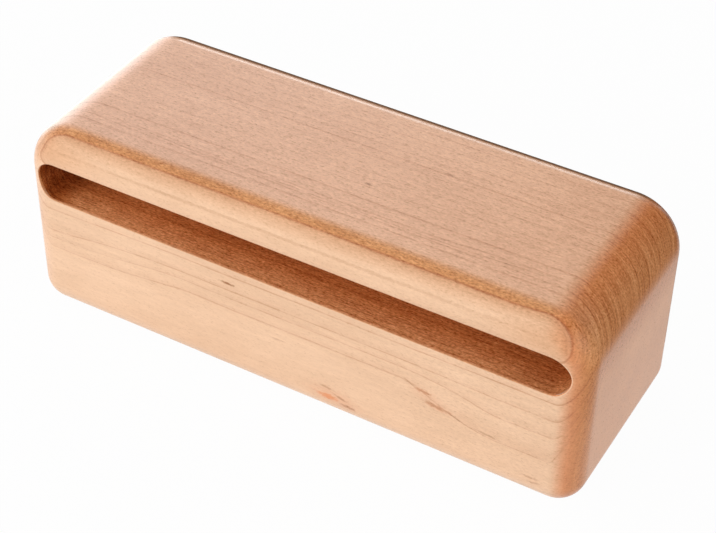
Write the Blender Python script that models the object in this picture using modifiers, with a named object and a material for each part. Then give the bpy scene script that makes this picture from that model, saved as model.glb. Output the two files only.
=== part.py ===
"""Concert wood block: one solid maple billet with rounded edges and a deep resonance slot.

The block lies on its flat base. +X runs along its length, -Y is the front with the slot,
+Z is up, and the origin is in the middle of the base. Sizes are in metres.
"""
import math

import bmesh
import bpy

# The billet, as it is planed before its edges are rounded
LENGTH = 0.200
DEPTH = 0.0747
HEIGHT = 0.0727

# Its edges: the router's round-over on every edge, and the wider round of the two top ends
EDGE_RADIUS = 0.0094
TOP_END_RADIUS = 0.0173

# The slot: as high as the bit that cuts it, and placed by the wood that it leaves
SLOT_HEIGHT = 0.0141
WOOD_ABOVE_SLOT = 0.0122
END_WALL = 0.0054
REAR_WALL = 0.0150

# The sanded rim round the slot's mouth
RIM_EASE = 0.0005

# Edges shorter than this are closed up where the rim crosses the flats of a rounded edge
SHORTEST_EDGE = 0.00005

# Edges that turn by more than this, in degrees, count as sharp
SHARP_ANGLE = 40

# How finely round forms are drawn: flats in a quarter turn
EDGE_FLATS = 10
TOP_END_FLATS = 16
SLOT_END_FLATS = 14
RIM_FLATS = 2

# Lacquered maple in linear light
MAPLE_COLOUR = (0.78, 0.50, 0.29, 1.0)
MAPLE_ROUGHNESS = 0.35

# Derived places
HALF_LENGTH = LENGTH / 2
HALF_HEIGHT = HEIGHT / 2
FRONT = -DEPTH / 2
REAR = DEPTH / 2
EDGE_ROUND = min(EDGE_RADIUS, TOP_END_RADIUS)
SLOT_RADIUS = SLOT_HEIGHT / 2
SLOT_CENTRE_Z = HEIGHT - WOOD_ABOVE_SLOT - SLOT_RADIUS
SLOT_END_X = HALF_LENGTH - END_WALL - SLOT_RADIUS
SLOT_REAR_Y = REAR - REAR_WALL


def clear_scene():
    """Start from an empty scene."""
    for old in list(bpy.data.objects):
        bpy.data.objects.remove(old, do_unlink=True)


def collection(name):
    """A collection of this name in the scene."""
    made = bpy.data.collections.new(name)
    bpy.context.scene.collection.children.link(made)
    return made


def maple():
    """The finish of the whole block: pale maple under a satin lacquer."""
    material = bpy.data.materials.new("Lacquered maple")
    material.use_nodes = True
    shader = material.node_tree.nodes["Principled BSDF"]
    shader.inputs["Base Color"].default_value = MAPLE_COLOUR
    shader.inputs["Roughness"].default_value = MAPLE_ROUGHNESS
    shader.inputs["Metallic"].default_value = 0.0
    material.diffuse_color = MAPLE_COLOUR
    return material


def object_from(bm, name, home):
    """Turn a bmesh into a named object in a collection, shaded smooth but for its real corners."""
    bmesh.ops.recalc_face_normals(bm, faces=bm.faces)
    mesh = bpy.data.meshes.new(name)
    bm.to_mesh(mesh)
    bm.free()
    mesh.shade_smooth()
    made = bpy.data.objects.new(name, mesh)
    home.objects.link(made)
    return made


def add_round(block, name, radius, flats, limit):
    """Round the block's edges: those that carry a bevel weight, or all that are sharp."""
    bevel = block.modifiers.new(name, "BEVEL")
    bevel.width = radius
    bevel.segments = flats
    bevel.limit_method = limit
    bevel.angle_limit = math.radians(SHARP_ANGLE)
    bevel.use_clamp_overlap = False


def make_block(home):
    """The billet: a cuboid, rounded wide over its two top ends and then along every other edge."""
    bm = bmesh.new()
    bmesh.ops.create_cube(bm, size=1.0)
    bmesh.ops.scale(bm, vec=(LENGTH, DEPTH, HEIGHT), verts=bm.verts)
    bmesh.ops.translate(bm, vec=(0, 0, HALF_HEIGHT), verts=bm.verts)
    weight = bm.edges.layers.float.new("bevel_weight_edge")
    for edge in bm.edges:
        a, b = (vert.co for vert in edge.verts)
        runs_front_to_rear = abs(a.y - b.y) > DEPTH / 2
        on_top = min(a.z, b.z) > HALF_HEIGHT
        edge[weight] = 1.0 if runs_front_to_rear and on_top else 0.0
    block = object_from(bm, "wood_block", home)
    add_round(block, "Top ends", TOP_END_RADIUS, TOP_END_FLATS, "WEIGHT")
    add_round(block, "Edges", EDGE_ROUND, EDGE_FLATS, "ANGLE")
    return block


def inside_outline(x, z):
    """How far a point of the front view lies inside the block's outline with its rounded corners."""
    radius = TOP_END_RADIUS if z > HALF_HEIGHT else EDGE_ROUND
    across = abs(x) - (HALF_LENGTH - radius)
    up = abs(z - HALF_HEIGHT) - (HALF_HEIGHT - radius)
    if across > 0 and up > 0:
        return radius - math.hypot(across, up)
    return radius - max(across, up)


def front_at(x, z):
    """Y of the front surface: flat, then falling back round the edges."""
    past_flat = min(max(EDGE_ROUND - inside_outline(x, z), 0.0), EDGE_ROUND)
    return FRONT + EDGE_ROUND - math.sqrt(EDGE_ROUND ** 2 - past_flat ** 2)


def slot_outline(grow):
    """The slot's outline with its full-round ends, grown outward, as points (x, z)."""
    points = []
    for side, start in ((1, -90), (-1, 90)):
        for step in range(2 * SLOT_END_FLATS + 1):
            turn = math.radians(start + 90 * step / SLOT_END_FLATS)
            x = side * SLOT_END_X + (SLOT_RADIUS + grow) * math.cos(turn)
            z = SLOT_CENTRE_Z + (SLOT_RADIUS + grow) * math.sin(turn)
            points.append((x, z))
    return points


def rim_ring(grow, depth):
    """A ring round the mouth, grown outward and set this deep behind the rounded front."""
    return [(x, front_at(x, z) + depth, z) for x, z in slot_outline(grow)]


def flat_ring(grow, y):
    """A ring of the slot's outline in one plane across Y."""
    return [(x, y, z) for x, z in slot_outline(grow)]


def make_slot_cutter(home):
    """The tool that clears the slot: a loft from the slot's rear out through its eased mouth.

    The mouth runs into the rounded front corners, so the rings of the rim follow that surface.
    """
    rings = [flat_ring(0, SLOT_REAR_Y)]
    for step in range(RIM_FLATS):
        turn = math.radians(90 * step / RIM_FLATS)
        rings.append(rim_ring(RIM_EASE * (1 - math.cos(turn)), RIM_EASE * (1 - math.sin(turn))))
    # The last flat of the rim goes on at its own slope until it is clear of the wood
    last_slope = math.radians(45 / RIM_FLATS)
    flare = RIM_EASE + RIM_EASE / math.tan(last_slope)
    rings.append(rim_ring(flare, -RIM_EASE))
    rings.append(flat_ring(flare, FRONT - 2 * RIM_EASE))

    bm = bmesh.new()
    loops = [[bm.verts.new(point) for point in ring] for ring in rings]
    count = len(loops[0])
    for near, far in zip(loops, loops[1:]):
        for i in range(count):
            j = (i + 1) % count
            bm.faces.new((near[i], near[j], far[j], far[i]))
    bm.faces.new(loops[0])
    bm.faces.new(loops[-1])
    cutter = object_from(bm, "slot_cutter", home)
    cutter.data.set_sharp_from_angle(angle=math.radians(SHARP_ANGLE))
    cutter.hide_render = True
    cutter.display_type = "WIRE"
    return cutter


def cut(block, cutter):
    """Take the cutter's space out of the block."""
    boolean = block.modifiers.new("Slot", "BOOLEAN")
    boolean.operation = "DIFFERENCE"
    boolean.solver = "EXACT"
    boolean.object = cutter
    weld = block.modifiers.new("Short edges", "WELD")
    weld.merge_threshold = SHORTEST_EDGE


def main():
    clear_scene()
    parts = collection("Wood block")
    cutters = collection("Cutters")
    block = make_block(parts)
    block.data.materials.append(maple())
    cut(block, make_slot_cutter(cutters))
    shading = block.modifiers.new("Flat faces stay flat", "WEIGHTED_NORMAL")
    shading.keep_sharp = True


main()
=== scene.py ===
# %% [markdown]
# # A concert wood block in lacquered maple
#
# A wood block is one solid billet of maple. Its edges are rounded over with a router, its two top ends
# are rounded wider, and a long slot cut in from the front leaves a thin tongue of wood to strike on top.
# This lesson builds the block as a single smooth skin, then grows its wood as a solid pattern, so that
# each year ring runs unbroken from the top over the ends and down the front. The measured model comes
# first: its box is kept, because nothing that follows may reach outside it.

# %% Load the measured block
import math

import bmesh
import bpy
from mathutils import Matrix, Vector


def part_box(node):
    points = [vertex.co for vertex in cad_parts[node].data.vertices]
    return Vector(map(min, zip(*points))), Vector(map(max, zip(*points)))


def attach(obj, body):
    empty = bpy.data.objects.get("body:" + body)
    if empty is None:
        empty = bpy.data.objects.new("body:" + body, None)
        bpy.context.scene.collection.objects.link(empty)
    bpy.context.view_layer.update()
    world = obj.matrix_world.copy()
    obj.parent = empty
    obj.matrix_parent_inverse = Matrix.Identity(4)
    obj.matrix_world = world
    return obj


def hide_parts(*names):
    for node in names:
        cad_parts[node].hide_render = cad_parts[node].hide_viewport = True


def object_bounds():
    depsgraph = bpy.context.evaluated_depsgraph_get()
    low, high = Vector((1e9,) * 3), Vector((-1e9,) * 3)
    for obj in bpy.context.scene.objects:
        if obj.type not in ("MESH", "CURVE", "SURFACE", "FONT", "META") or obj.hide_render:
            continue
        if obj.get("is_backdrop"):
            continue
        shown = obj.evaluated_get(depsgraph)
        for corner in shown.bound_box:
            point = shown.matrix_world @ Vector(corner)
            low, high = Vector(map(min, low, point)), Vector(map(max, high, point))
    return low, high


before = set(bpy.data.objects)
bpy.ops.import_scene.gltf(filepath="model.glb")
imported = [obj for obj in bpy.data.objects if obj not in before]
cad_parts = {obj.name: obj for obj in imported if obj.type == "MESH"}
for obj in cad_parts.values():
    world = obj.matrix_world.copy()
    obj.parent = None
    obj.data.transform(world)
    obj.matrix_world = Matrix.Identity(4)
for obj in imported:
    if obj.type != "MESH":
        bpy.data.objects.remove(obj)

MM = 0.001
cad_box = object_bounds()
block_low, block_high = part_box("wood_block")
print("measured block, mm:", [round(side / MM, 1) for side in block_high - block_low])

# %% [markdown]
# ## The maker's sizes
#
# The overall size is read from the measured block, so the two can never disagree. The radii belong to the
# maker's cutters: a small router bit for every edge, a wider curve for the two top ends, and the bit that
# is as high as the slot.

# %% Sizes of the block and its cutters
HALF_LENGTH = block_high.x
FRONT = block_low.y
REAR = block_high.y
HEIGHT = block_high.z
HALF_HEIGHT = HEIGHT / 2

EDGE_RADIUS = 9.4 * MM
TOP_END_RADIUS = 17.3 * MM

SLOT_RADIUS = 14.1 * MM / 2
WOOD_ABOVE_SLOT = 12.2 * MM
END_WALL = 5.4 * MM
REAR_WALL = 15.0 * MM
RIM_EASE = 0.5 * MM

SLOT_CENTRE_Z = HEIGHT - WOOD_ABOVE_SLOT - SLOT_RADIUS
SLOT_END_X = HALF_LENGTH - END_WALL - SLOT_RADIUS
SLOT_REAR_Y = REAR - REAR_WALL
print("slot, mm deep:", round((SLOT_REAR_Y - FRONT) / MM, 1))

# %% [markdown]
# ## The camera
#
# The block is seen from its front right, from a little above the player's eye. A long lens keeps its
# edges nearly parallel. The camera is turned by three named angles, so its place is easy to read: how far
# round, how far down, and a slight tilt of the hand. The view transform is Standard, so that a colour
# renders about as it is written.

# %% Camera
CAMERA_PLACE = Vector((229.31, -399.54, 416.27)) * MM
CAMERA_HEADING = 29.433
CAMERA_DIP = 40.004
CAMERA_TILT = 0.923
CAMERA_LENS = 93.04
CAMERA_SENSOR = 36.0

camera = bpy.data.objects.new("Camera", bpy.data.cameras.new("Camera"))
bpy.context.scene.collection.objects.link(camera)
camera.data.lens = CAMERA_LENS
camera.data.sensor_width = CAMERA_SENSOR
camera.matrix_world = (
    Matrix.Translation(CAMERA_PLACE)
    @ Matrix.Rotation(math.radians(CAMERA_HEADING), 4, "Z")
    @ Matrix.Rotation(math.radians(90 - CAMERA_DIP), 4, "X")
    @ Matrix.Rotation(math.radians(CAMERA_TILT), 4, "Z")
)
bpy.context.scene.camera = camera
bpy.context.scene.view_settings.view_transform = "Standard"
print("camera axes:", [[round(n, 3) for n in row] for row in camera.matrix_world.to_3x3()])

# %% [markdown]
# ## One skin for the whole block
#
# The block could be a box with bevels and a slot cut by a boolean, and the measured model is made that
# way. A cut leaves long thin triangles where the slot's mouth crosses the rounded corners, and they catch
# the light. Here the skin is a loft instead: a chain of closed rings, all with the same number of points.
# It starts at the back wall of the slot, comes forward along the slot's walls, turns over the eased rim,
# spreads across the front, rolls round the front edges, runs back along the sides, and closes over the
# rear. Every face is a tidy quad.
#
# Each ring goes round in the same four stretches: the right end going up, the top going left, the left
# end going down, and the underside going right.

# %% Rings that follow the slot and the block's outline
END_STEPS = (16, 12, 20)
LONG_STEPS = 44


def arc(centre_x, centre_z, radius, start, steps):
    """Points of a quarter turn, without its last one."""
    turns = [math.radians(start + 90 * step / steps) for step in range(steps)]
    return [(centre_x + radius * math.cos(t), centre_z + radius * math.sin(t)) for t in turns]


def line(start, end, steps):
    """Evenly spaced points from start towards end, without the last one."""
    shares = [step / steps for step in range(steps)]
    return [tuple(a + (b - a) * share for a, b in zip(start, end)) for share in shares]


def both_ends(right_end, top_line, bottom_line):
    """A whole ring from its right end: the left end is the same, mirrored and walked the other way."""
    left_end = [(-x, z) for x, z in reversed(right_end)]
    return right_end[:-1] + top_line + left_end[:-1] + bottom_line


def outline(inset):
    """The front view of the block, drawn in by inset."""
    low = max(EDGE_RADIUS - inset, 0.0)
    high = TOP_END_RADIUS - inset
    side = HALF_LENGTH - inset
    low_x, low_z = HALF_LENGTH - EDGE_RADIUS, EDGE_RADIUS
    high_x, high_z = HALF_LENGTH - TOP_END_RADIUS, HEIGHT - TOP_END_RADIUS
    right_end = arc(low_x, low_z, low, -90, END_STEPS[0])
    right_end += line((side, low_z), (side, high_z), END_STEPS[1])
    right_end += arc(high_x, high_z, high, 0, END_STEPS[2]) + [(high_x, HEIGHT - inset)]
    top_line = line((high_x, HEIGHT - inset), (-high_x, HEIGHT - inset), LONG_STEPS)
    bottom_line = line((-low_x, inset), (low_x, inset), LONG_STEPS)
    return both_ends(right_end, top_line, bottom_line)


def slot_outline(grow):
    """The slot with its full-round ends, grown outward."""
    radius = SLOT_RADIUS + grow
    half_turn = sum(END_STEPS) // 2
    right_end = arc(SLOT_END_X, SLOT_CENTRE_Z, radius, -90, half_turn)
    right_end += arc(SLOT_END_X, SLOT_CENTRE_Z, radius, 0, half_turn)
    high, low = SLOT_CENTRE_Z + radius, SLOT_CENTRE_Z - radius
    right_end.append((SLOT_END_X, high))
    top_line = line((SLOT_END_X, high), (-SLOT_END_X, high), LONG_STEPS)
    bottom_line = line((-SLOT_END_X, low), (SLOT_END_X, low), LONG_STEPS)
    return both_ends(right_end, top_line, bottom_line)


print("points in a ring:", len(outline(0)), "and", len(slot_outline(0)))

# %% [markdown]
# ## Where the front rolls back
#
# The front is flat in the middle and rolls back round its edges. How far back a point lies depends only
# on how near it is to the outline, so one short formula serves the whole front. The slot's mouth reaches
# into the rounded corners at both ends, and because its rim uses the same formula, it bends back with
# them.

# %% The rounded front as a formula


def inside_outline(x, z):
    """How far a point of the front view lies inside the outline."""
    radius = TOP_END_RADIUS if z > HALF_HEIGHT else EDGE_RADIUS
    across = abs(x) - (HALF_LENGTH - radius)
    up = abs(z - HALF_HEIGHT) - (HALF_HEIGHT - radius)
    if across > 0 and up > 0:
        return radius - math.hypot(across, up)
    return radius - max(across, up)


def roll_back(x, z):
    """How far the rounded front lies behind the flat front at this point."""
    past_flat = min(max(EDGE_RADIUS - inside_outline(x, z), 0.0), EDGE_RADIUS)
    return EDGE_RADIUS - math.sqrt(EDGE_RADIUS ** 2 - past_flat ** 2)


print("roll back at the slot's end, mm:", round(roll_back(SLOT_END_X + SLOT_RADIUS, SLOT_CENTRE_Z) / MM, 2))

# %% [markdown]
# ## The chain of rings
#
# Rings lie close together where the surface turns and wide apart where it is flat. On the rounded edges
# they are spaced by angle. Between the edge and the slot the rings change shape step by step from one
# outline to the other, and they crowd together towards the edge. The rear is the front seen in a mirror,
# with no slot: its rings close in on the same long oval.

# %% Make the rings
WALL_STEPS = 12
RIM_STEPS = 5
SPREAD_STEPS = 20
EDGE_STEPS = 16
SIDE_STEPS = 10
EDGE_START = 34
CROWDING = 1.7


def at_depth(ring, y):
    """A flat ring at one distance from front to rear."""
    return [(x, y, z) for x, z in ring]


def rim_ring(turn):
    """The eased rim of the mouth: turn 0 is on the slot's wall, and turn 90 on the front."""
    grow = RIM_EASE * (1 - math.cos(math.radians(turn)))
    depth = RIM_EASE * (1 - math.sin(math.radians(turn)))
    return [(x, FRONT + roll_back(x, z) + depth, z) for x, z in slot_outline(grow)]


def between(first, last, steps):
    """Rings part way from one ring to another, without either of them."""
    made = []
    for step in range(1, steps):
        share = step / steps
        made.append([tuple(a + (b - a) * share for a, b in zip(p, q)) for p, q in zip(first, last)])
    return made


def spread_rings():
    """Rings of the front view from the slot's mouth out to where the edge rings begin."""
    mouth = slot_outline(RIM_EASE)
    edge = outline(EDGE_RADIUS * (1 - math.sin(math.radians(EDGE_START))))
    made = []
    for step in range(1, SPREAD_STEPS):
        to_edge = 1 - (1 - step / SPREAD_STEPS) ** CROWDING
        made.append([tuple(a + (b - a) * to_edge for a, b in zip(p, q)) for p, q in zip(mouth, edge)])
    return made


def edge_rings():
    """Rings of the rounded edge: each is drawn in, and lies back, by the same turn of a quarter circle."""
    made = []
    for step in range(EDGE_STEPS + 1):
        turn = math.radians(EDGE_START + (90 - EDGE_START) * step / EDGE_STEPS)
        ring = outline(EDGE_RADIUS * (1 - math.sin(turn)))
        made.append(at_depth(ring, EDGE_RADIUS * (1 - math.cos(turn))))
    return made


def face_rings():
    """Rings from the mouth's edge to the side of the block, with y as the distance behind a flat face."""
    flat = [[(x, roll_back(x, z), z) for x, z in ring] for ring in spread_rings()]
    return flat + edge_rings()


slot_rear = at_depth(slot_outline(0), SLOT_REAR_Y)
rim = [rim_ring(90 * step / RIM_STEPS) for step in range(RIM_STEPS + 1)]
front = [[(x, FRONT + back, z) for x, back, z in ring] for ring in face_rings()]
rear = [[(x, REAR - back, z) for x, back, z in ring] for ring in reversed(face_rings())]
rear_oval = at_depth(slot_outline(RIM_EASE), REAR)

rings = [slot_rear] + between(slot_rear, rim[0], WALL_STEPS) + rim
rings += front + between(front[-1], rear[0], SIDE_STEPS) + rear + [rear_oval]
print("rings:", len(rings))

# %% [markdown]
# ## Sewing the rings together
#
# Neighbouring rings are joined by a band of quads. The two open ends of the chain, the slot's back wall
# and the middle of the rear face, are closed by a ladder of quads across the long oval. Where the rear
# edge rings close to a point at the lower corners, coincident points are merged, so no face is left
# without area. Shading is smooth except round the slot's back wall, which is a true corner.

# %% Sew the rings into a mesh
SAME_PLACE = 0.001 * MM


def ladder(bm, loop):
    """Close an oval loop with a ladder of faces from one end to the other."""
    middle = sum(END_STEPS) // 2
    count = len(loop)
    for step in range(count // 2):
        upper = [loop[(middle + step) % count], loop[(middle + step + 1) % count]]
        lower = [loop[(middle - step - 1) % count], loop[(middle - step) % count]]
        corners = list(dict.fromkeys(upper + lower))
        bm.faces.new(corners)


bm = bmesh.new()
loops = [[bm.verts.new(point) for point in ring] for ring in rings]
for near, far in zip(loops, loops[1:]):
    for i in range(len(near)):
        j = (i + 1) % len(near)
        bm.faces.new((near[i], near[j], far[j], far[i]))
ladder(bm, loops[0])
ladder(bm, loops[-1])
back_corner = {frozenset((loops[0][i], loops[0][i - 1])) for i in range(len(loops[0]))}
for edge in bm.edges:
    edge.smooth = frozenset(edge.verts) not in back_corner
bmesh.ops.remove_doubles(bm, verts=bm.verts, dist=SAME_PLACE)
bmesh.ops.recalc_face_normals(bm, faces=bm.faces)
for face in bm.faces:
    face.smooth = True
print("open edges:", sum(not edge.is_manifold for edge in bm.edges))
print("volume, cm3:", round(bm.calc_volume() * 1e6, 1))

# %% [markdown]
# ## The block as an object
#
# The mesh becomes one object, because the block is one piece of wood. A Weighted Normal modifier lets the
# large flat faces keep their own direction next to the small faces of the rounds; without it the flats
# would look slightly swollen near their edges. The block rides on the model's one body and stands for
# the measured solid.

# %% Place the block
block_mesh = bpy.data.meshes.new("maple_block")
bm.to_mesh(block_mesh)
bm.free()
block = bpy.data.objects.new("maple_block", block_mesh)
bpy.context.scene.collection.objects.link(block)
keep_flat = block.modifiers.new("Flat faces stay flat", "WEIGHTED_NORMAL")
keep_flat.keep_sharp = True
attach(block, "root")
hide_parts("wood_block")
print("faces:", len(block_mesh.polygons))

# %% [markdown]
# ## Sums for a material, written as sums
#
# A wood pattern is mostly arithmetic, and a chain of Math nodes is hard to read. The small class here
# stands for a number on its way between two nodes. Adding or multiplying two of them adds the node that
# does it, so the shape of the year rings can be written as a formula. Every helper adds its nodes to the
# material whose node tree is called tree at the time.

# %% A number that travels between nodes


class Wire:
    """A number on its way between two nodes of a material."""

    def __init__(self, socket):
        self.socket = socket

    def __add__(self, other):
        return maths("ADD", self, other)

    def __sub__(self, other):
        return maths("SUBTRACT", self, other)

    def __mul__(self, other):
        return maths("MULTIPLY", self, other)

    def __truediv__(self, other):
        return maths("DIVIDE", self, other)

    def __pow__(self, other):
        return maths("POWER", self, other)


def join(value, socket):
    """Give a socket a wire, or a plain number or colour."""
    if isinstance(value, Wire):
        socket.id_data.links.new(value.socket, socket)
    else:
        socket.default_value = value


def maths(operation, *values):
    """A Math node."""
    node = tree.nodes.new("ShaderNodeMath")
    node.operation = operation
    for value, socket in zip(values, node.inputs):
        join(value, socket)
    return Wire(node.outputs[0])


maple = bpy.data.materials.new("Lacquered maple")
maple.use_nodes = True
tree = maple.node_tree
shader = tree.nodes["Principled BSDF"]
print("material:", maple.name)

# %% [markdown]
# ## Soft borders, noise and blending
#
# Wood has few hard borders: lacquer thins out, and the colour changes little by little as a surface
# turns. A Map Range node with its smooth setting makes such a border out of any number, and this material
# uses it all the way through. Noise gives what grew unevenly, and a Mix node lays one colour over another
# or multiplies it.

# %% Helpers for borders, noise and colours


def ease(value, start, end, low=0.0, high=1.0):
    """Low before start and high after end, with a smooth change between them."""
    node = tree.nodes.new("ShaderNodeMapRange")
    node.interpolation_type = "SMOOTHSTEP"
    for given, socket in zip((value, start, end, low, high), node.inputs):
        join(given, socket)
    return Wire(node.outputs[0])


def larger(first, second):
    """The larger of two numbers: for areas, the two laid together."""
    return maths("MAXIMUM", first, second)


def size_of(value):
    """A number without its sign."""
    return maths("ABSOLUTE", value)


def spot(x, y, z):
    """A place made of three wires."""
    node = tree.nodes.new("ShaderNodeCombineXYZ")
    for value, socket in zip((x, y, z), node.inputs):
        join(value, socket)
    return Wire(node.outputs[0])


def noise(place, detail=2.0, rough=0.5):
    """Soft noise from 0 to 1 that changes about once in a unit of the place."""
    node = tree.nodes.new("ShaderNodeTexNoise")
    join(place, node.inputs["Vector"])
    node.inputs["Scale"].default_value = 1.0
    node.inputs["Detail"].default_value = detail
    node.inputs["Roughness"].default_value = rough
    return Wire(node.outputs[0])


def blend(share, first, second, kind="MIX"):
    """The first colour, giving way to the second (or multiplied by it) as share goes from 0 to 1."""
    node = tree.nodes.new("ShaderNodeMix")
    node.data_type = "RGBA"
    node.blend_type = kind
    join(share, node.inputs["Factor"])
    for value, name in ((first, "A_Color"), (second, "B_Color")):
        join(value, next(socket for socket in node.inputs if socket.identifier == name))
    return Wire(next(socket for socket in node.outputs if socket.identifier == "Result_Color"))


print("helpers ready; nodes so far:", len(tree.nodes))

# %% [markdown]
# ## Places inside the billet
#
# The pattern is solid: it is worked out from where a point lies in the billet, and not painted on the
# outside. A saw cut through the block would show the same rings. Lengths are turned to millimetres first,
# because wood is easier to think about in them. The direction that the surface faces is needed too, since
# wood looks unlike on its sides and on its end grain. Its three parts run from -1 to 1: face_z, for one,
# is 1 on the flat top and 0 on every upright face.

# %% Where a point lies, and which way it faces
where = tree.nodes.new("ShaderNodeTexCoord")
axes = tree.nodes.new("ShaderNodeSeparateXYZ")
tree.links.new(where.outputs["Object"], axes.inputs[0])
x, y, z = (Wire(output) * (1 / MM) for output in axes.outputs)

facing = tree.nodes.new("ShaderNodeSeparateXYZ")
tree.links.new(where.outputs["Normal"], facing.inputs[0])
face_x, face_y, face_z = (Wire(output) for output in facing.outputs)
on_front = ease(face_y * -1.0, 0.25, 0.75)
on_top = ease(face_z, 0.85, 0.97)
print("nodes so far:", len(tree.nodes))

# %% [markdown]
# ## Year rings
#
# The billet was sawn away from the heart of the tree, so a ring is a gently curved sheet that stands
# nearly upright along the block. Low in the block the sheets stand straight. Higher up they lean back,
# and above the slot they lean back steadily by nearly half a millimetre in every millimetre. The depth of
# a point among the rings is therefore its distance from front to rear, less the lean.
#
# Slow noise makes the rings waver a little, least in the lower front, where the saw ran almost along them
# and a small step sideways moves a line far. The outermost ring bows on the front of the tongue. It draws
# back next to the slot and beside the slot's right end, so that it frames the tongue and keeps clear of
# the mouth.

# %% How deep a point lies among the rings
UPRIGHT_BELOW = 10.0
STEADY_ABOVE = 50.0
LEAN = 0.46
WAVER = 0.40
FINE_WAVER = 0.14
BOW_HIGH = 0.3
BOW_BY_SLOT = -0.3
BOW_AT_END = -0.6

rise = maths("MINIMUM", larger((z - UPRIGHT_BELOW) / (STEADY_ABOVE - UPRIGHT_BELOW), 0.0), 1.0)
lean_low = (rise ** 3.0 - rise ** 4.0 * 0.5) * (LEAN * (STEADY_ABOVE - UPRIGHT_BELOW))
lean_high = larger(z - STEADY_ABOVE, 0.0) * LEAN
lean_here = ease(z, UPRIGHT_BELOW, STEADY_ABOVE, 0.0, LEAN)
waver = (noise(spot(x / 38.0, y / 14.0, z / 14.0)) - 0.5) * (2 * WAVER)
fine_waver = (noise(spot(x / 9.0, y / 3.0, z / 3.0)) - 0.5) * (2 * FINE_WAVER)
calm = larger(ease(z, 12.0, 40.0, 0.15, 0.32), ease(y, -33.0, -22.0))
bow_over_arch = ease(x, 72.0, 92.0, BOW_HIGH - BOW_BY_SLOT, 0.0) * ease(z, 62.0, 66.0)
bow = ease(x, 72.0, 92.0, BOW_BY_SLOT, BOW_AT_END) + bow_over_arch
bow = bow * ease(z, 54.0, 60.0) * ease(y, -30.0, -26.0, 1.0, 0.0)
depth = y - lean_low - lean_high + (waver + fine_waver) * calm + bow
lean_on_top = LEAN * (STEADY_ABOVE - UPRIGHT_BELOW) / 2 + LEAN * (HEIGHT / MM - STEADY_ABOVE)
print("lean at the top, mm:", round(lean_on_top, 1))

# %% [markdown]
# ## The dark line at the end of each year
#
# Maple grows pale wood all summer and closes each year with a thin brown line. Years aren't alike: wide
# and narrow ones follow each other, and some lines are strong where others hardly show. The lists give
# how deep each line lies and how dark it is. Just behind the front, where the saw ran along the rings,
# the lines bow out in the middle of the block and draw long arches, so each of them has three depths: at
# the left end, in the middle and at the right end. Behind the last listed line the years go on evenly.

# %% The list of year lines
FIRST_LINE = (-57.0, 0.3)
OUTER_YEARS = ((-51.5, 1.00), (-48.4, 0.22))
FRONT_YEARS = (
    ((-43.1, -43.6, -43.6), 0.78),
    ((-39.9, -41.2, -40.95), 0.68),
    ((-39.15, -40.25, -38.95), 0.58),
    ((-38.55, -39.1, -37.6), 0.68),
)
INNER_YEARS = (
    (-34.1, 0.80), (-31.4, 0.25), (-28.2, 0.50), (-24.5, 0.45), (-21.5, 0.40), (-18.5, 0.45),
    (-13.9, 0.50), (-10.6, 0.75), (-6.8, 0.45), (-3.7, 0.50), (1.0, 0.45), (5.7, 0.50),
)
EVEN_YEAR = 4.1
EVEN_YEARS = 9
EVEN_DARKNESS = 0.45


def year_lines(part):
    """Depth and darkness of every year line in one part of the block: 0 left, 1 middle, 2 right."""
    front_years = tuple((depths[part], dark) for depths, dark in FRONT_YEARS)
    last = INNER_YEARS[-1][0]
    even_years = tuple((last + EVEN_YEAR * n, EVEN_DARKNESS) for n in range(1, EVEN_YEARS + 1))
    return (FIRST_LINE,) + OUTER_YEARS + front_years + INNER_YEARS + even_years


print("year lines in the block:", len(year_lines(1)))

# %% [markdown]
# ## A colour ramp as a calendar
#
# A chain of comparisons could find the year that a point grew in, but a colour ramp does it in one node.
# Its red part turns the depth into a count of years, its green part gives the strength of the nearest
# line and its blue part the width of a year there. Three such calendars, one for each part of the block,
# give way to one another along it.

# %% Read the calendar
FIRST_DEPTH = FIRST_LINE[0]
LAST_DEPTH = INNER_YEARS[-1][0] + EVEN_YEAR * EVEN_YEARS
WIDEST_YEAR = 6.0


def calendar(part):
    """A colour ramp that reads year, darkness of the line and width of the year from the depth."""
    node = tree.nodes.new("ShaderNodeValToRGB")
    stops = node.color_ramp.elements
    lines = year_lines(part)
    while len(stops) < len(lines):
        stops.new(0.5)
    for year, (place, dark) in enumerate(lines):
        width = (lines[min(year + 1, len(lines) - 1)][0] - lines[max(year - 1, 0)][0]) / 2
        stops[year].position = (place - FIRST_DEPTH) / (LAST_DEPTH - FIRST_DEPTH)
        stops[year].color = (year / len(lines), dark, width / WIDEST_YEAR, 1.0)
    join((depth - FIRST_DEPTH) / (LAST_DEPTH - FIRST_DEPTH), node.inputs[0])
    return Wire(node.outputs["Color"])


to_right = ease(x, 40.0, 75.0)
to_left = ease(x * -1.0, 35.0, 92.0)
read = tree.nodes.new("ShaderNodeSeparateColor")
join(blend(to_right, blend(to_left, calendar(1), calendar(0)), calendar(2)), read.inputs[0])
year_count, line_dark, year_width = (Wire(output) for output in read.outputs)
through_year = maths("FRACT", year_count * len(year_lines(1)))
to_line = (size_of(through_year - 0.5) * -1.0 + 0.5) * year_width * WIDEST_YEAR
print("the calendar covers, mm:", FIRST_DEPTH, "to", round(LAST_DEPTH, 1))

# %% [markdown]
# ## How a year looks on the surface
#
# A line is a few tenths of a millimetre wide where the surface cuts straight across it. Where the surface
# runs nearly along the rings it would be smeared out to a broad stain, and the block's front shows fine
# lines even there. So the distance to the line is divided by how fast the depth changes along the
# surface. That is what is left of the rings' own direction once the part that points out of the surface
# is taken away.
#
# Each year also darkens a little before its line. Slow noise makes the lines fade in and out along the
# block, and they are weaker towards the left and round the lower right corner.

# %% Darkness of the year lines
THIN_LINE_SHARE = 0.8
LATE_WOOD_SHARE = 0.25

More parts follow.
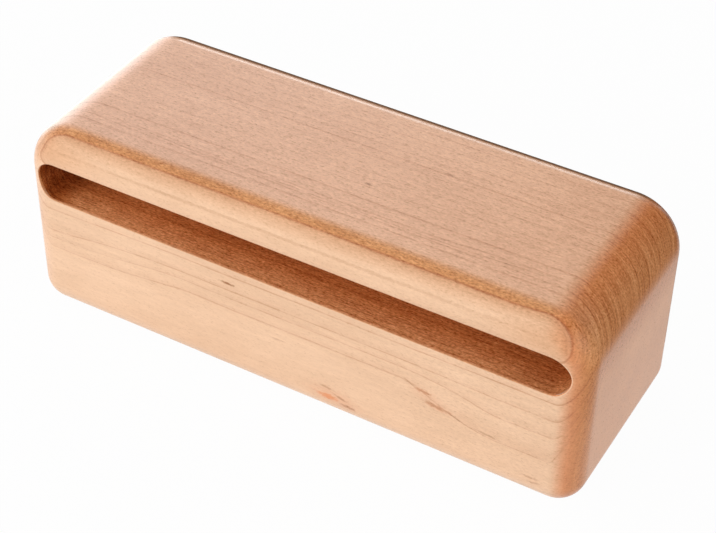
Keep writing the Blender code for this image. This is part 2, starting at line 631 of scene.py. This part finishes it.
out_of_surface = face_y - face_z * lean_here
along_surface = maths("SQRT", larger(lean_here ** 2.0 + 1.0 - out_of_surface ** 2.0, 0.002))
seen_distance = to_line / along_surface
ragged_edge = (noise(spot(x / 1.6, y / 0.5, z / 0.5)) - 0.5) * 0.4
line_reach = line_dark ** 2.0 * 0.32 + 0.30
thin_line = ease(seen_distance + ragged_edge, 0.06, line_reach, 1.0, 0.0)
late_wood = ease(to_line, 0.0, 1.3, 1.0, 0.0) * ease(through_year, 0.45, 0.55)
along_line = noise(spot(x / 7.0, y / 3.0, z / 3.0), 2.0, 0.6)
fading = ease(along_line, 0.30, 0.62, line_dark * line_dark * 0.8, 1.0)
weak_at_left = ease(x, -80.0, 40.0, 0.85, 1.0)
low_corner = ease(face_x, 0.15, 0.60) * ease(z, 30.0, 45.0, 1.0, 0.0)
year_line = (thin_line * THIN_LINE_SHARE + late_wood * LATE_WOOD_SHARE) * line_dark * fading * weak_at_left
year_line = year_line * (low_corner * -0.8 + 1.0)
print("nodes so far:", len(tree.nodes))

# %% [markdown]
# ## Fibres, pores and fine layers
#
# Between the year lines the wood is never even. Broad fibres and fine streaks lie along the block, with
# short dashes about a millimetre long among them. Maple's pores are tiny and show as brown flecks where
# they are cut lengthwise. Where they are cut across, on the ends, the same solid pattern turns to small
# dots by itself, because each fibre is seen end on. The ends also show thin layers inside each year.
# Blotches and patches are slower changes, a few millimetres and a few centimetres across.
#
# Each noise is stretched by dividing the place: by a long length along the block and by short ones across
# it.

# %% Fibres, pores and layers
broad_fibres = noise(spot(x / 9.0, y / 1.3, z / 1.3), 2.0, 0.6)
streaks = noise(spot(x / 7.0, y / 0.45, z / 0.45), 2.0, 0.6)
dashes = noise(spot(x / 1.2, y / 0.50, z / 0.50), 2.0, 0.70)
pores = ease(noise(spot(x / 2.4, y / 0.45, z / 0.45), 1.0, 0.5), 0.64, 0.78)
layers = noise(spot(x / 60.0, depth / 0.75, z / 30.0), 3.0, 0.7)
blotches = noise(spot(x / 5.0, y / 3.5, z / 5.0), 3.0, 0.6)
patches = noise(spot(x / 45.0, y / 18.0, z / 16.0), 2.0, 0.5)
bands = noise(spot(x / 2.0, y / 2.0, z / 30.0), 2.0, 0.6)
print("nodes so far:", len(tree.nodes))

# %% [markdown]
# ## Colour of the front and the top
#
# The front was sawn along the rings and is the palest face. The top cuts across them and is a little
# browner. From left to right the top grows lighter and less pink: that is painted sheen, standing for the
# lacquer's satin sheen there. An image could hold such changes, but it would have to be painted for one
# block. Blending by direction keeps them tied to the shape.

# %% Pale front and browner top
PALE_MAPLE = (0.90, 0.585, 0.375, 1.0)
TOP_LEFT_MAPLE = (0.82, 0.440, 0.262, 1.0)
TOP_RIGHT_SHEEN_MAPLE = (0.87, 0.465, 0.262, 1.0)

# Painted sheen: the top grows lighter towards the right
top_maple_and_sheen = blend(ease(x, -70.0, 60.0), TOP_LEFT_MAPLE, TOP_RIGHT_SHEEN_MAPLE)
wood = blend(ease(face_z, 0.75, 0.98), PALE_MAPLE, top_maple_and_sheen)
print("front and top:", PALE_MAPLE[:3], TOP_RIGHT_SHEEN_MAPLE[:3])

# %% [markdown]
# ## Painted shade along the tongue
#
# The rounded edge between the front and the top looks deeper orange than the flats, as it mirrors
# little light, and this shade is painted into its colour: painted shade. On the left it follows the edge
# down round the corner. The outermost ring shows as a line round the front of the tongue, and the painted
# shade is weaker outside that ring, so the ring is a border between two colours. Near the ends of the
# tongue the same colour reaches down the front a little.

# %% Orange painted shade along the front edge
SHADED_EDGE_MAPLE = (0.68, 0.29, 0.105, 1.0)
OUTERMOST_RING = OUTER_YEARS[0][0]

inside_ring = ease(depth, OUTERMOST_RING - 0.3, OUTERMOST_RING + 0.2, 0.55, 1.0)
up_or_left = larger(face_z, face_x * -1.0 * ease(z, 61.0, 67.0))
front_edge_shade = ease(up_or_left, 0.25, 0.93) * ease(face_y * -1.0, 0.0, 0.32) * inside_ring
tongue_tip = ease(size_of(x), 60.0, 90.0, 0.06, 0.45) * on_front * ease(z, 58.0, 64.0)
# Painted shade: the rounded front edge is coloured deeper orange
wood = blend(larger(front_edge_shade, tongue_tip), wood, SHADED_EDGE_MAPLE)
print("front edge:", SHADED_EDGE_MAPLE[:3])

# %% [markdown]
# ## Cut fibres and painted shade on the right end
#
# Where the surface turns towards the right end it cuts the fibres off, and the end grain is a deeper
# orange brown. Part of that depth is painted shade, as the right end lies away from the main lamps. The
# round over the end deepens as soon as it begins to turn, and the upright corners only when they have
# turned further. The left end takes little of it, which is painted light: it faces the main lamp.

# %% Orange brown where the fibres are cut, with painted shade
END_GRAIN_SHADED_MAPLE = (0.78, 0.27, 0.088, 1.0)
END_RIM_SHADED_MAPLE = (0.74, 0.285, 0.098, 1.0)
LIT_LEFT_END_SHARE = 0.2

turned_to_end = size_of(face_x)
fully_cut = ease(face_z, 0.0, 0.5, 0.62, 0.36)
# Painted shade on the right end, and painted light that keeps the left end pale
end_grain_and_shade = ease(turned_to_end, 0.04, fully_cut) * ease(x, -10.0, 10.0, LIT_LEFT_END_SHARE, 1.0)
end_grain_and_shade = end_grain_and_shade * ease(depth, -46.0, -34.0, 0.84, 1.0) * ease(z, 30.0, 50.0, 0.84, 1.0)
wood = blend(end_grain_and_shade * larger(inside_ring, ease(x, 95.0, 98.0)), wood, END_GRAIN_SHADED_MAPLE)
wood = blend(ease(face_x, 0.50, 0.90), wood, END_RIM_SHADED_MAPLE)
print("right end:", END_GRAIN_SHADED_MAPLE[:3], END_RIM_SHADED_MAPLE[:3])

# %% [markdown]
# ## The left round and the flat of the ends
#
# The round over the left end is the block's palest rim. Its colour is greyer and less deep than the
# wood's: painted light, the washed-out look of a rim that catches the lamps beyond the left end. The
# flat of each end was sanded smooth after the rounds were cut, so low down it is paler and calmer than
# the round above it. The border between them is soft, because sanding by hand leaves no line.

# %% Paler ends
LEFT_ROUND_LIT_MAPLE = (0.70, 0.495, 0.350, 1.0)
END_FACE_MAPLE = (0.86, 0.39, 0.165, 1.0)

# Painted light: a paler, greyer left round
left_round_light = ease(face_x * -1.0, 0.25, 0.60, 0.0, 0.9) * ease(face_y, -0.50, -0.20)
wood = blend(left_round_light, wood, LEFT_ROUND_LIT_MAPLE)
low_on_end = ease(z, 42.0, 57.0, 1.0, 0.0)
flat_end = ease(face_x, 0.960, 1.0) * low_on_end * ease(y, -31.0, -25.0)
flat_left_end = ease(face_x * -1.0, 0.5, 1.0, 0.0, 0.35) * low_on_end
wood = blend(larger(flat_end, flat_left_end), wood, END_FACE_MAPLE)
print("left round and end face:", LEFT_ROUND_LIT_MAPLE[:3], END_FACE_MAPLE[:3])

# %% [markdown]
# ## The rear top edge
#
# Along the far edge lies a thin dark line with a pale one in front of it. The lacquer mirrors the black
# cards there, and the rest of the dark line is painted shade, a brown band just behind the edge. The pale
# line on the crest is a painted highlight, and the crest also mirrors a lamp. Both follow how far the
# surface has turned to the rear, and the line is a little wider on the left. Round the ends the band
# fades out.

# %% Painted highlight on the crest and painted shade behind it
REAR_PAINTED_HIGHLIGHT = (1.00, 0.60, 0.395, 1.0)
REAR_PAINTED_SHADE = (0.44, 0.225, 0.125, 1.0)

along_rear = ease(face_x, -0.35, -0.10) * ease(face_x, 0.10, 0.40, 1.0, 0.25)
band_starts = ease(x, -90.0, 60.0, 0.255, 0.28)
rear_shade_band = ease(face_y, band_starts, band_starts + 0.05) * ease(face_y, 0.55, 0.80, 1.0, 0.0)
rear_shade_band = rear_shade_band * ease(z, 50.0, 62.0) * along_rear
rear_highlight_crest = ease(face_y, 0.04, 0.10) * (ease(face_y, band_starts - 0.04, band_starts) * -1.0 + 1.0)
rear_highlight_crest = rear_highlight_crest * ease(turned_to_end, 0.05, 0.3, 1.0, 0.0) * ease(face_z, 0.7, 0.9)
# Painted highlight on the crest, then painted shade along the far edge
wood = blend(rear_highlight_crest, wood, REAR_PAINTED_HIGHLIGHT)
wood = blend(rear_shade_band, wood, REAR_PAINTED_SHADE)
print("rear edge:", REAR_PAINTED_HIGHLIGHT[:3], REAR_PAINTED_SHADE[:3])

# %% [markdown]
# ## The slot's walls
#
# The walls of the slot are rough from the router and take the lacquer's colour deeply. They grow darker
# the deeper they lie, and that is painted shade, the shade inside the slot. They are told from the
# outside by where they lie, inside the slot's outline, and the colour starts just behind the rim. Near the
# ends the rim rolls back with the corners, and the border follows it. Both ends of the slot are darker
# than its middle, the left one most: painted shade as well.

# %% Deeper colour and painted shade inside the slot
MOUTH_MAPLE = (0.81, 0.355, 0.145, 1.0)
SLOT_MAPLE_IN_SHADE = (0.66, 0.222, 0.063, 1.0)
LEFT_SLOT_SHADE = -0.40
RIGHT_SLOT_SHADE = -0.14

past_end = larger(size_of(x) - SLOT_END_X / MM, 0.0)
from_middle = z - SLOT_CENTRE_Z / MM
from_core = maths("SQRT", past_end ** 2.0 + from_middle ** 2.0)
rolled = ease(size_of(x), 90.0, 95.0, 0.0, 1.4)
behind_mouth = y - (FRONT + RIM_EASE) / MM - rolled
in_slot = ease(from_core, SLOT_RADIUS / MM + 0.1, SLOT_RADIUS / MM + 0.3, 1.0, 0.0)
in_slot = in_slot * ease(behind_mouth, -0.1, 0.3)
in_slot = in_slot * ease(y, SLOT_REAR_Y / MM + 1.0, SLOT_REAR_Y / MM + 3.0, 1.0, 0.0)
shade_past_mouth = larger(ease(behind_mouth, 0.0, 11.0), ease(x, -90.0, -78.0, 1.0, 0.0))
# Painted shade: darker deeper in the slot and at its left end
wood = blend(in_slot, wood, blend(shade_past_mouth, MOUTH_MAPLE, SLOT_MAPLE_IN_SHADE))
# Painted shade at both ends of the slot
painted_slot_shade = ease(x, -93.0, -80.0, LEFT_SLOT_SHADE, 0.0) + ease(x, 62.0, 90.0, 0.0, RIGHT_SLOT_SHADE)
painted_slot_shade = painted_slot_shade * in_slot
print("slot:", MOUTH_MAPLE[:3], SLOT_MAPLE_IN_SHADE[:3])

# %% [markdown]
# ## Marks that grew in the wood
#
# Every billet has a few: brown gum flecks, and pinkish or orange streaks where minerals settled. They lie
# where they grew, so each is placed one by one as a small oval with a ragged edge. A mark is given by its
# middle, its height, its half length along the block, its half height, its slope and how much of its tint
# it takes.

# %% Flecks and streaks
BROWN_ON_FRONT = (
    (-21.7, 40.2, 3.0, 0.55, -0.04, 1.00),
    (-3.5, 25.0, 2.8, 0.45, 0.00, 0.40),
    (0.0, 66.4, 115.0, 0.60, 0.00, 0.24),
    (14.0, 13.2, 3.2, 0.50, -0.12, 0.45),
    (19.1, 10.8, 2.4, 0.55, -0.32, 0.55),
    (21.9, 8.1, 3.0, 0.70, -0.06, 0.65),
    (44.2, 29.0, 3.0, 0.35, -0.55, 0.45),
    (48.3, 27.9, 3.2, 0.70, -0.10, 0.50),
    (53.2, 23.8, 4.8, 0.75, -0.15, 0.55),
    (59.5, 22.4, 4.6, 0.40, -0.36, 0.45),
    (70.5, 20.7, 4.2, 0.45, -0.10, 0.50),
    (85.4, 10.5, 3.2, 0.45, 0.00, 0.50),
    (87.0, 8.8, 2.6, 0.40, 0.12, 0.45),
)
ORANGE_ON_FRONT = (
    (14.7, 9.5, 4.0, 1.20, -0.02, 0.90),
    (48.5, 27.9, 3.4, 0.90, -0.10, 0.35),
    (53.5, 23.6, 4.6, 1.10, -0.15, 0.30),
)
PINK_ON_FRONT = (
    (17.0, 9.8, 10.0, 4.00, -0.05, 0.70),
    (51.0, 25.8, 8.0, 3.00, -0.30, 0.40),
)
BROWN_ON_TOP = (
    (11.3, -7.5, 1.6, 0.50, 0.00, 0.75),
    (30.3, 9.5, 1.7, 0.50, 0.00, 0.70),
)

ragged = (noise(spot(x / 1.3, y / 0.6, z / 0.6), 2.0, 0.6) - 0.5) * 1.6


def marks(rows, across):
    """Ovals with ragged edges, all in one wire."""
    total = None
    for middle, height, half_length, half_height, slope, share in rows:
        off = (x - middle) / half_length
        up = (across - height - (x - middle) * slope) / half_height
        oval = ease(maths("SQRT", off ** 2.0 + up ** 2.0) + ragged, 0.3, 1.3, share, 0.0)
        total = oval if total is None else larger(total, oval)
    return total


brown_marks = marks(BROWN_ON_FRONT, z) * on_front + marks(BROWN_ON_TOP, y) * on_top
orange_marks = marks(ORANGE_ON_FRONT, z) * on_front
pink_marks = marks(PINK_ON_FRONT, z) * on_front
print("marks:", len(BROWN_ON_FRONT + ORANGE_ON_FRONT + PINK_ON_FRONT + BROWN_ON_TOP))

# %% [markdown]
# ## How rough each face is
#
# The front, sawn along the rings, is the smoothest face, and the flat of the right end was sanded smooth.
# The rounded edges and the walls of the slot show the most texture. One number for the whole skin says
# how strongly the short dashes and the pores may show at a point.

# %% Where texture shows
SMOOTH_FRONT_TEXTURE = 0.2

rough_end = end_grain_and_shade * ease(face_z, 0.05, 0.45, 0.10, 0.35) * ease(flat_end, 0.0, 1.0, 1.0, 0.1)
roughly_cut = larger(larger(front_edge_shade * 0.6, rough_end), in_slot * 0.7)
smooth_front = on_front * ease(x, 10.0, 60.0, ease(z, 48.0, 66.0, 1.0, 0.8), 0.68)
texture = ease(smooth_front, 0.0, 1.0, 1.0, SMOOTH_FRONT_TEXTURE) * ease(flat_end, 0.0, 1.0, 1.0, 0.08)
texture = texture + roughly_cut
print("nodes so far:", len(tree.nodes))

# %% [markdown]
# ## Thin films of colour
#
# Year lines, pores and marks are like thin films of colour over the wood. They could be mixed in as
# colours of their own, but then they would look painted on. They multiply the colour instead, so that the
# wood below shows through them.

# %% Lay the lines, pores and marks over the wood
LINE_TINT = (0.58, 0.30, 0.13, 1.0)
BROWN_TINT = (0.50, 0.30, 0.16, 1.0)
ORANGE_TINT = (0.96, 0.60, 0.38, 1.0)
PINK_TINT = (0.94, 0.82, 0.78, 1.0)

line_film = year_line * ease(flat_end, 0.0, 1.0, 0.75, 0.15)
pore_film = pores * ease(texture, 0.3, 1.0) * (on_top * -0.10 + 0.20)
films = (
    (line_film, LINE_TINT),
    (pore_film, LINE_TINT),
    (pink_marks, PINK_TINT),
    (orange_marks, ORANGE_TINT),
    (brown_marks, BROWN_TINT),
)
for share, film_colour in films:
    wood = blend(share, wood, film_colour, "MULTIPLY")
print("films of colour:", len(films))

# %% [markdown]
# ## Lighter and darker wood, and painted light and shade
#
# Fibres, layers and slow patches make the wood lighter or darker by a few parts in a hundred. All of them
# are added up in one number, the tone, which is 0 where nothing changes. Layers show mostly on the round
# of the ends. The lower right corner has faint upright bands. The tone also carries painted light and
# shade: the front of the right end's round is a little lighter, which is painted light, and the far
# corner a little darker, which is painted shade, as is the slot's shade.

# %% Add up the tone
BAND_STRENGTH = 0.22
PAINTED_FRONT_LIGHT = 0.15
FAR_CORNER_SHADE = -0.12

streak_share = larger(in_slot * 0.5, on_top * 0.20)
fine_tone = (broad_fibres - 0.5) * (in_slot * 0.2 + 0.16) + (streaks - 0.5) * streak_share
fine_tone = fine_tone + (dashes - 0.5) * 0.76 * texture
slow_tone = (patches - 0.5) * 0.18 + (blotches - 0.5) * larger(roughly_cut, flat_end * 0.5) * 0.20
on_round = ease(turned_to_end, 0.15, 0.75) * ease(face_z, 0.05, 0.40, 0.04, 1.0)
layer_tone = (layers - 0.5) * (on_round * 0.90 + 0.13) * ease(flat_end, 0.0, 1.0, 1.0, 0.05)
# Painted light on the front of the right round, painted shade on the far corner
painted_front_light = ease(face_x, 0.60, 0.85) * ease(y, -28.0, -14.0, PAINTED_FRONT_LIGHT, 0.0) * ease(face_z, 0.0, 0.25)
far_corner_shade = ease(face_x, 0.15, 0.45) * ease(face_y, 0.05, 0.35) * ease(face_z, 0.1, 0.4)
low_bands = ease(face_x, 0.20, 0.50) * ease(face_x, 0.95, 1.0, 1.0, 0.0) * ease(z, 40.0, 52.0, 1.0, 0.0)
tone = fine_tone + slow_tone + layer_tone + painted_slot_shade + painted_front_light + far_corner_shade * FAR_CORNER_SHADE
tone = tone + (bands - 0.5) * low_bands * BAND_STRENGTH
print("nodes so far:", len(tree.nodes))

# %% [markdown]
# ## The finished colour
#
# Wood that looks darker has mostly drunk more lacquer, so its colour is deeper too, and not greyer.
# Changing the value alone would make the dark fibres grey. A Gamma node comes first and deepens the
# colour as the tone falls, and then the value follows the tone.

# %% Deepen and shade the colour
DEEPENING = 0.8

# The painted shade in the tone is deepened here too, not only the darker wood
deepen = tree.nodes.new("ShaderNodeGamma")
join(wood, deepen.inputs["Color"])
join(tone * -DEEPENING + 1.0, deepen.inputs["Gamma"])
tint = tree.nodes.new("ShaderNodeHueSaturation")
join(tone + 1.0, tint.inputs["Value"])
join(Wire(deepen.outputs["Color"]), tint.inputs["Color"])
join(Wire(tint.outputs["Color"]), shader.inputs["Base Color"])
print("nodes so far:", len(tree.nodes))

# %% [markdown]
# ## Lacquer
#
# The lacquer is satin: it mirrors the studio only softly, most of all where it is seen at a low angle. It
# is glossier along the rear edge, over the painted shade band and the painted highlight on the crest. It
# fills the fibres without hiding them, so a very slight bump is left.

# %% Satin lacquer
LACQUER_IOR = 1.50
GLOSSIEST_FIBRE = 0.26
DULLEST_FIBRE = 0.34
REAR_POLISH = 0.65
BUMP_STRENGTH = 0.25
BUMP_HEIGHT = 0.05 * MM

shader.inputs["IOR"].default_value = LACQUER_IOR
satin = ease(dashes, 0.2, 0.8, GLOSSIEST_FIBRE, DULLEST_FIBRE)
join(satin * (larger(rear_shade_band, rear_highlight_crest) * -REAR_POLISH + 1.0), shader.inputs["Roughness"])
relief = tree.nodes.new("ShaderNodeBump")
relief.inputs["Strength"].default_value = BUMP_STRENGTH
relief.inputs["Distance"].default_value = BUMP_HEIGHT
join(dashes - year_line * 0.3, relief.inputs["Height"])
join(Wire(relief.outputs["Normal"]), shader.inputs["Normal"])
block_mesh.materials.append(maple)
print("nodes in the lacquered maple:", len(tree.nodes))

# %% [markdown]
# ## The floor
#
# The block stands on white paper. A real white floor would need so much light to look white that the
# block would be too bright. So the paper is seen white by the camera and in reflections, but it sends
# back only as much light as pale card does, and it keeps the block's soft shadow.

# %% White paper
FLOOR_SIDE = 6.0
FLOOR_WHITE_SHARE = 0.97
PAPER = (0.85, 0.85, 0.85, 1.0)

bm = bmesh.new()
bmesh.ops.create_grid(bm, x_segments=4, y_segments=4, size=FLOOR_SIDE / 2)
floor_mesh = bpy.data.meshes.new("floor")
bm.to_mesh(floor_mesh)
bm.free()
floor = bpy.data.objects.new("floor", floor_mesh)
bpy.context.scene.collection.objects.link(floor)
floor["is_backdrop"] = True


def seen_directly():
    """1 for what the camera sees straight, in a mirror or through glass, and 0 for what only lights."""
    path = tree.nodes.new("ShaderNodeLightPath")
    camera_ray, glossy_ray, transmission_ray = (
        Wire(path.outputs[name]) for name in ("Is Camera Ray", "Is Glossy Ray", "Is Transmission Ray")
    )
    return larger(larger(camera_ray, glossy_ray), transmission_ray)


def mix_shaders(share, first, second):
    """One shader giving way to another."""
    node = tree.nodes.new("ShaderNodeMixShader")
    join(share, node.inputs[0])
    tree.links.new(first, node.inputs[1])
    tree.links.new(second, node.inputs[2])
    return node.outputs[0]


white_card = bpy.data.materials.new("White card")
white_card.use_nodes = True
tree = white_card.node_tree
tree.nodes.remove(tree.nodes["Principled BSDF"])
paper = tree.nodes.new("ShaderNodeBsdfDiffuse")
paper.inputs["Color"].default_value = PAPER
glow = tree.nodes.new("ShaderNodeEmission")
card_out = mix_shaders(seen_directly() * FLOOR_WHITE_SHARE, paper.outputs[0], glow.outputs[0])
tree.links.new(card_out, tree.nodes["Material Output"].inputs["Surface"])
floor_mesh.materials.append(white_card)
print("floor, m:", FLOOR_SIDE)

# %% [markdown]
# ## The surround
#
# Round the floor lies a white room. It could be a dome of real card, but the world does the same with no
# mesh. Like the floor it is white to look at and weaker as a lamp, so that the softboxes still shape the
# block.

# %% White world
SURROUND_LIGHT = 0.33
WHITE = (1.0, 1.0, 1.0, 1.0)

world = bpy.data.worlds.new("White surround")
bpy.context.scene.world = world
world.use_nodes = True
tree = world.node_tree
seen_white = tree.nodes["Background"]
seen_white.inputs["Color"].default_value = WHITE
weak_light = tree.nodes.new("ShaderNodeBackground")
weak_light.inputs["Color"].default_value = WHITE
weak_light.inputs["Strength"].default_value = SURROUND_LIGHT
world_out = mix_shaders(seen_directly(), weak_light.outputs[0], seen_white.outputs[0])
tree.links.new(world_out, tree.nodes["World Output"].inputs["Surface"])
print("light of the surround:", SURROUND_LIGHT)

# %% [markdown]
# ## Black cards
#
# White wood on white paper loses its far edges. A photographer stands black cards just outside the
# picture, so that the lacquer mirrors them along the edges that turn away. These show only in
# reflections. One stands beyond the right end and deepens the round of the end. One lies on the floor
# beside it and fades in from clear to black, so that its reflection has no hard edge. One lies behind the
# block and one stands far beyond it, and these two draw the thin dark line along its far edge.

# %% A card that only the lacquer sees


def black_material(name, fade_from, fade_to):
    """Black that fades in along X: clear up to fade_from, full from fade_to, both in metres."""
    global tree
    made = bpy.data.materials.new(name)
    made.use_nodes = True
    tree = made.node_tree
    place = tree.nodes.new("ShaderNodeTexCoord")
    split = tree.nodes.new("ShaderNodeSeparateXYZ")
    tree.links.new(place.outputs["Object"], split.inputs[0])
    clear = tree.nodes.new("ShaderNodeBsdfTransparent")
    tree.nodes.remove(tree.nodes["Principled BSDF"])
    ink = tree.nodes.new("ShaderNodeEmission")
    ink.inputs["Color"].default_value = (0.0, 0.0, 0.0, 1.0)
    share = ease(Wire(split.outputs[0]), fade_from, fade_to)
    faded = mix_shaders(share, clear.outputs[0], ink.outputs[0])
    tree.links.new(faded, tree.nodes["Material Output"].inputs["Surface"])
    return made


def black_card(name, corners, material):
    """A dark card that shows in reflections only."""
    mesh = bpy.data.meshes.new(name)
    bm = bmesh.new()
    bm.faces.new([bm.verts.new(corner) for corner in corners])
    bmesh.ops.subdivide_edges(bm, edges=bm.edges, cuts=3, use_grid_fill=True)
    bm.to_mesh(mesh)
    bm.free()
    mesh.materials.append(material)
    made = bpy.data.objects.new(name, mesh)
    made.visible_camera = False
    made.visible_diffuse = False
    made.visible_shadow = False
    made.visible_transmission = False
    bpy.context.scene.collection.objects.link(made)
    made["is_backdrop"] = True


FAR_BEYOND_LEFT = -8.0
FADE_STARTS = 0.111
FADE_ENDS = 0.175

# A fade that ends far beyond the left side leaves a card black all over
plain_black = black_material("Black card", FAR_BEYOND_LEFT - 1.0, FAR_BEYOND_LEFT)
fading_black = black_material("Fading black card", FADE_STARTS, FADE_ENDS)
print("card materials:", plain_black.name, "and", fading_black.name)

# %% [markdown]
# ## Where the cards go
#
# A card belongs where the edge that it darkens looks to. The right end looks to the right and down, so
# one card stands 9 cm beyond it and one lies in the gap between. The far edge looks over its own
# shoulder, to the rear left, so the card behind the block widens that way. It lies just above the low
# lamp of the next step and keeps that lamp out of the far edge.

# %% Set up the cards
RIGHT_CARD_X = 0.19
CARDS_FRONT = -0.09
CARDS_REAR = 0.50
RIGHT_CARD_TOP = 0.40
CLEAR_OF_BLOCK_X = 0.101
CLEAR_OF_BLOCK_Y = 0.045
BEHIND_LEFT_NEAR = -0.115
BEHIND_LEFT_FAR = -2.2
FAR_Y = 3.0
FAR_LEFT = -2.5
FAR_RIGHT = 0.3
FAR_TOP = 0.82
ABOVE_FLOOR = 0.001
ABOVE_LOW_LAMP = 0.006

stands_right = [
    (RIGHT_CARD_X, CARDS_FRONT, 0.0),
    (RIGHT_CARD_X, CARDS_REAR, 0.0),
    (RIGHT_CARD_X, CARDS_REAR, RIGHT_CARD_TOP),
    (RIGHT_CARD_X, CARDS_FRONT, RIGHT_CARD_TOP),
]
lies_right = [
    (CLEAR_OF_BLOCK_X, CARDS_FRONT, ABOVE_FLOOR),
    (RIGHT_CARD_X, CARDS_FRONT, ABOVE_FLOOR),
    (RIGHT_CARD_X, CARDS_REAR, ABOVE_FLOOR),
    (CLEAR_OF_BLOCK_X, CARDS_REAR, ABOVE_FLOOR),
]
lies_behind = [
    (BEHIND_LEFT_NEAR, CLEAR_OF_BLOCK_Y, ABOVE_LOW_LAMP),
    (CLEAR_OF_BLOCK_X, CLEAR_OF_BLOCK_Y, ABOVE_LOW_LAMP),
    (CLEAR_OF_BLOCK_X, FAR_Y, ABOVE_LOW_LAMP),
    (BEHIND_LEFT_FAR, FAR_Y, ABOVE_LOW_LAMP),
]
stands_far = [
    (FAR_LEFT, FAR_Y, 0.0),
    (FAR_RIGHT, FAR_Y, 0.0),
    (FAR_RIGHT, FAR_Y, FAR_TOP),
    (FAR_LEFT, FAR_Y, FAR_TOP),
]
black_card("end_card", stands_right, plain_black)
black_card("end_floor_card", lies_right, fading_black)
black_card("far_edge_card", lies_behind, plain_black)
black_card("far_wall_card", stands_far, plain_black)

# %% [markdown]
# ## Lamps
#
# Three lamps light the block. A large softbox stands in front and to the left. It lights the front
# without a highlight of its own, because the lacquer doesn't mirror it. A second, behind and to the left,
# lies in the mirror line of the top and gives it its satin sheen. A weak one fills in from the right.
#
# Four more show only in the lacquer. One beyond the left end makes that end glow against the paper. One
# lies on the floor and shines up, for the part of the left round that looks down there. One stands
# farther back, for the rim of that round. The last is high and far behind, and draws the pale line along
# the crest of the rear edge.

# %% Lamps


def softbox(name, place, width, height, brightness, aim=(0.0, 0.0, 0.03)):
    """A large area lamp turned towards the block; brightness 1 is as bright as white paper."""
    lamp = bpy.data.objects.new(name, bpy.data.lights.new(name, "AREA"))
    lamp.data.shape = "RECTANGLE"
    lamp.data.size = width
    lamp.data.size_y = height
    lamp.data.energy = brightness * math.pi * width * height
    lamp.location = place
    lamp.rotation_euler = (Vector(aim) - Vector(place)).to_track_quat("-Z", "Y").to_euler()
    bpy.context.scene.collection.objects.link(lamp)
    return lamp


UP_FROM_FLOOR = (-0.60, 0.45, 1.0)

key = softbox("key", (-0.55, -1.02, 0.62), 1.6, 1.15, 2.2)
key.visible_glossy = False
softbox("sheen", (-1.1, 1.0, 1.15), 1.5, 1.0, 1.3)
left_glow = softbox("left_glow", (-1.3, 0.55, 0.30), 0.8, 0.5, 0.7)
left_shine = softbox("left_shine", (-0.60, 0.45, 0.004), 0.9, 0.8, 1.6, UP_FROM_FLOOR)
left_shine.visible_camera = False
rim_glow = softbox("rim_glow", (-1.33, 1.00, 0.30), 0.7, 0.6, 1.9)
crest_light = softbox("crest_light", (-1.09, 2.58, 1.08), 1.3, 0.5, 2.0)
softbox("fill", (1.3, -0.20, 0.50), 0.9, 0.8, 1.45)
for mirrored in (left_glow, left_shine, rim_glow, crest_light):
    mirrored.visible_diffuse = False

# %% [markdown]
# ## The size of the skin
#
# The skin must fill the measured block's box and not leave it. Both boxes are printed, so that the two
# can be compared later without opening the scene.

# %% Write both boxes and finish
block_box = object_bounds()
sizes = {"cad": [list(corner) for corner in cad_box], "visual": [list(corner) for corner in block_box]}
for name, box in sizes.items():
    print(name, "box, mm:", [[round(n / MM, 3) for n in corner] for corner in box])
